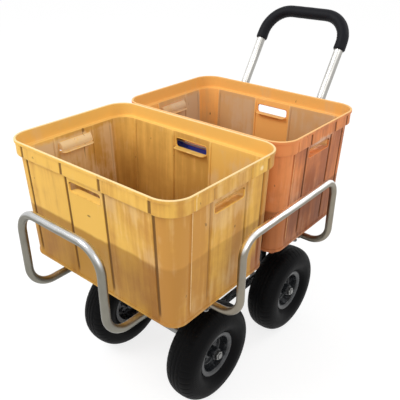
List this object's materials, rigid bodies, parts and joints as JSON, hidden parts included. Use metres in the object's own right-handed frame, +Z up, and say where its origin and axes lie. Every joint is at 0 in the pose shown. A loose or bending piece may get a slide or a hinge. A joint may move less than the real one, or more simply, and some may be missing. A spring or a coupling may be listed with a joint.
{
  "type": "crate hand cart",
  "caption": "Four-wheeled hand cart of bent aluminium tube carrying two open lift-out plastic crates, with slide-out tube guards at front and sides and a leaning padded push handle.",
  "frame": {"origin": "on the ground under the middle of the cart's length and width", "axes": "+Z up, +Y along the cart from the front guard to the handle, +X across it"},
  "size_m": [0.582, 0.9797, 0.895],
  "materials": {
    "yellow_plastic": "moulded polypropylene, weathered satin",
    "orange_plastic": "moulded polypropylene, weathered satin",
    "drawn_aluminium": "drawn and clear anodised",
    "dark_steel": "black paint, satin",
    "zinc_steel": "zinc plated",
    "black_plastic": "moulded, matt",
    "tyre_rubber": "matt rubber",
    "grip_foam": "closed-cell foam sleeve, matt"
  },
  "bodies": {
    "deck": {"rail_left": "drawn_aluminium", "rail_right": "drawn_aluminium", "cross_tube_front": "drawn_aluminium", "cross_tube_rear": "drawn_aluminium", "under_rail_left": "drawn_aluminium", "under_rail_right": "drawn_aluminium", "under_rail_plug_front_left": "black_plastic", "under_rail_plug_front_right": "black_plastic", "under_rail_plug_rear_left": "black_plastic", "under_rail_plug_rear_right": "black_plastic", "rail_saddle_front_left": "dark_steel", "rail_saddle_front_right": "dark_steel", "rail_saddle_rear_left": "dark_steel", "rail_saddle_rear_right": "dark_steel", "under_saddle_front_left": "dark_steel", "under_saddle_front_right": "dark_steel", "under_saddle_rear_left": "dark_steel", "under_saddle_rear_right": "dark_steel", "front_clamp_bolt_left": "zinc_steel", "front_clamp_bolt_right": "zinc_steel", "side_clamp_bolt_front_left": "zinc_steel", "side_clamp_bolt_front_right": "zinc_steel", "side_clamp_bolt_rear_left": "zinc_steel", "side_clamp_bolt_rear_right": "zinc_steel", "handle_bow": "drawn_aluminium", "handle_grip": "grip_foam", "handle_brace": "drawn_aluminium", "joint_spigot_left": "zinc_steel", "joint_spigot_right": "zinc_steel", "joint_bolt_left": "zinc_steel", "joint_bolt_right": "zinc_steel", "axle_post_front_left": "dark_steel", "axle_post_front_right": "dark_steel", "axle_post_rear_left": "dark_steel", "axle_post_rear_right": "dark_steel", "lower_stay_left": "dark_steel", "lower_stay_right": "dark_steel", "axle_front": "zinc_steel", "axle_rear": "zinc_steel", "axle_nut_front_left": "zinc_steel", "axle_nut_front_right": "zinc_steel", "axle_nut_rear_left": "zinc_steel", "axle_nut_rear_right": "zinc_steel"},
    "front_crate": {"crate_front": "yellow_plastic"},
    "rear_crate": {"crate_rear": "orange_plastic"},
    "front_guard_frame": {"front_guard": "drawn_aluminium"},
    "left_guard_frame": {"side_guard_left": "drawn_aluminium"},
    "right_guard_frame": {"side_guard_right": "drawn_aluminium"},
    "front_left_wheel": {"tyre_front_left": "tyre_rubber", "rim_front_left": "dark_steel", "bush_front_left": "black_plastic"},
    "front_right_wheel": {"tyre_front_right": "tyre_rubber", "rim_front_right": "dark_steel", "bush_front_right": "black_plastic"},
    "rear_left_wheel": {"tyre_rear_left": "tyre_rubber", "rim_rear_left": "dark_steel", "bush_rear_left": "black_plastic"},
    "rear_right_wheel": {"tyre_rear_right": "tyre_rubber", "rim_rear_right": "dark_steel", "bush_rear_right": "black_plastic"}
  },
  "joints": [
    {"name": "front_left_wheel_spin", "type": "hinge", "parent": "deck", "child": "front_left_wheel", "pos_m": [-0.157, -0.18335, 0.132], "axis": [1, 0, 0], "continuous": true},
    {"name": "front_right_wheel_spin", "type": "hinge", "parent": "deck", "child": "front_right_wheel", "pos_m": [0.157, -0.18335, 0.132], "axis": [1, 0, 0], "continuous": true},
    {"name": "rear_left_wheel_spin", "type": "hinge", "parent": "deck", "child": "rear_left_wheel", "pos_m": [-0.157, 0.16565, 0.132], "axis": [1, 0, 0], "continuous": true},
    {"name": "rear_right_wheel_spin", "type": "hinge", "parent": "deck", "child": "rear_right_wheel", "pos_m": [0.157, 0.16565, 0.132], "axis": [1, 0, 0], "continuous": true},
    {"name": "front_crate_lift", "type": "slide", "parent": "deck", "child": "front_crate", "axis": [0, 0, 1], "range_m": [0, 0.33]},
    {"name": "rear_crate_lift", "type": "slide", "parent": "deck", "child": "rear_crate", "axis": [0, 0, 1], "range_m": [0, 0.33]},
    {"name": "front_guard_slide", "type": "slide", "parent": "deck", "child": "front_guard_frame", "axis": [0, -1, 0], "range_m": [-0.035, 0.12]},
    {"name": "left_guard_slide", "type": "slide", "parent": "deck", "child": "left_guard_frame", "axis": [-1, 0, 0], "range_m": [-0.01, 0.08]},
    {"name": "right_guard_slide", "type": "slide", "parent": "deck", "child": "right_guard_frame", "axis": [1, 0, 0], "range_m": [-0.01, 0.08]}
  ]
}
